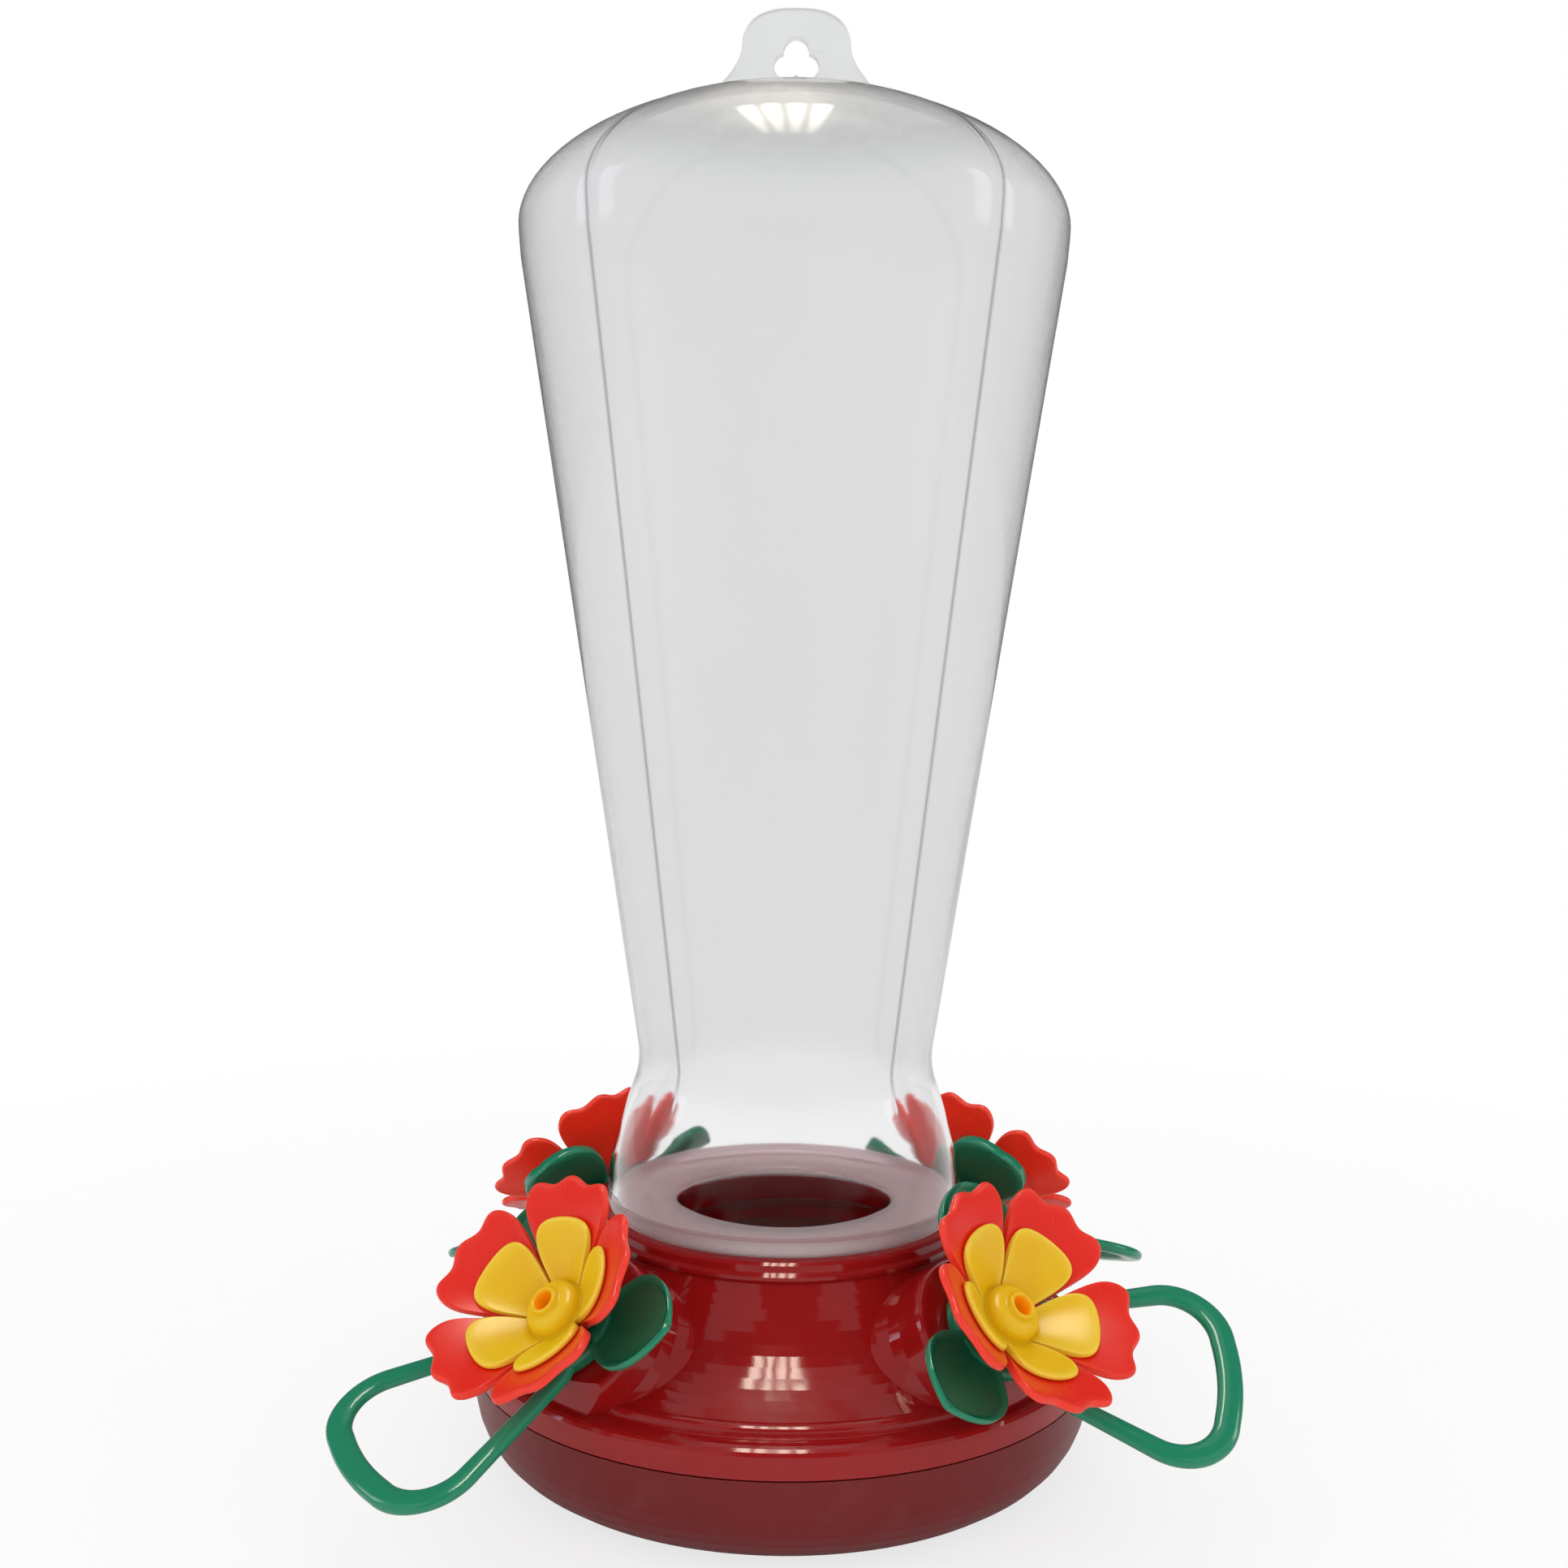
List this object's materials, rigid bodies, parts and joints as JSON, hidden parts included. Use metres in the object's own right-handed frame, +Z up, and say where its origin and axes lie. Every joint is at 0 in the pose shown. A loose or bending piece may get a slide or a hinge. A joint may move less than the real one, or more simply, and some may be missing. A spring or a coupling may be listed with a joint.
{
  "type": "hummingbird feeder",
  "caption": "Hanging nectar feeder: a clear lobed bottle stands mouth down in a round two-part base with flower ports and turning perches.",
  "frame": {"origin": "middle of the flat foot, on the surface that the feeder stands on", "axes": "+Z up along the bottle's axis; the front of the picture is -Y, and the hang tab lies in the XZ plane"},
  "size_m": [0.1746, 0.1552, 0.2999],
  "materials": {
    "clear_plastic": "clear, blow-moulded, smooth and glossy",
    "red_plastic": "deep red, glossy, moulded",
    "dish_plastic": "dark red, duller than the cover",
    "flower_plastic": "bright red, glossy",
    "yellow_plastic": "bright yellow, glossy",
    "green_plastic": "deep green, glossy",
    "seal_rubber": "soft and matt"
  },
  "bodies": {
    "dish": {"base_dish": "dish_plastic", "base_seal": "seal_rubber"},
    "cover": {"base_cover": "red_plastic", "cover_rim": "red_plastic", "cover_socket": "red_plastic"},
    "seal": {"neck_seal": "seal_rubber"},
    "bottle": {"bottle": "clear_plastic", "bottle_neck": "clear_plastic"},
    "perch_1": {"perch_1": "green_plastic"},
    "flower_1": {"petals_1": "flower_plastic", "nozzle_1": "yellow_plastic"},
    "perch_2": {"perch_2": "green_plastic"},
    "flower_2": {"petals_2": "flower_plastic", "nozzle_2": "yellow_plastic"},
    "perch_3": {"perch_3": "green_plastic"},
    "flower_3": {"petals_3": "flower_plastic", "nozzle_3": "yellow_plastic"},
    "perch_4": {"perch_4": "green_plastic"},
    "flower_4": {"petals_4": "flower_plastic", "nozzle_4": "yellow_plastic"}
  },
  "joints": [
    {"name": "cover_lift", "type": "slide", "parent": "dish", "child": "cover", "axis": [0, 0, 1], "range_m": [0, 0.03]},
    {"name": "bottle_lift", "type": "slide", "parent": "cover", "child": "seal", "axis": [0, 0, 1], "range_m": [0, 0.01201]},
    {"name": "bottle_turn", "type": "hinge", "parent": "seal", "child": "bottle", "pos_m": [0, 0, 0.051], "axis": [0, 0, 1], "range_deg": [0, 720]},
    {"name": "flower_pull_1", "type": "slide", "parent": "cover", "child": "flower_1", "axis": [-0.5213, -0.5213, 0.6756], "range_m": [0, 0.022]},
    {"name": "perch_turn_1", "type": "hinge", "parent": "flower_1", "child": "perch_1", "pos_m": [-0.03974, -0.03974, 0.0382], "axis": [-0.5213, -0.5213, 0.6756], "range_deg": [-36, 64]},
    {"name": "flower_pull_2", "type": "slide", "parent": "cover", "child": "flower_2", "axis": [0.5213, -0.5213, 0.6756], "range_m": [0, 0.022]},
    {"name": "perch_turn_2", "type": "hinge", "parent": "flower_2", "child": "perch_2", "pos_m": [0.03974, -0.03974, 0.0382], "axis": [0.5213, -0.5213, 0.6756], "range_deg": [-97, 3]},
    {"name": "flower_pull_3", "type": "slide", "parent": "cover", "child": "flower_3", "axis": [0.5213, 0.5213, 0.6756], "range_m": [0, 0.022]},
    {"name": "perch_turn_3", "type": "hinge", "parent": "flower_3", "child": "perch_3", "pos_m": [0.03974, 0.03974, 0.0382], "axis": [0.5213, 0.5213, 0.6756], "range_deg": [-32, 68]},
    {"name": "flower_pull_4", "type": "slide", "parent": "cover", "child": "flower_4", "axis": [-0.5213, 0.5213, 0.6756], "range_m": [0, 0.022]},
    {"name": "perch_turn_4", "type": "hinge", "parent": "flower_4", "child": "perch_4", "pos_m": [-0.03974, 0.03974, 0.0382], "axis": [-0.5213, 0.5213, 0.6756], "range_deg": [-53, 47]}
  ],
  "couplings": [
    {"joint": "bottle_lift", "follows": "bottle_turn", "m_per_rad": 0.00095493}
  ]
}
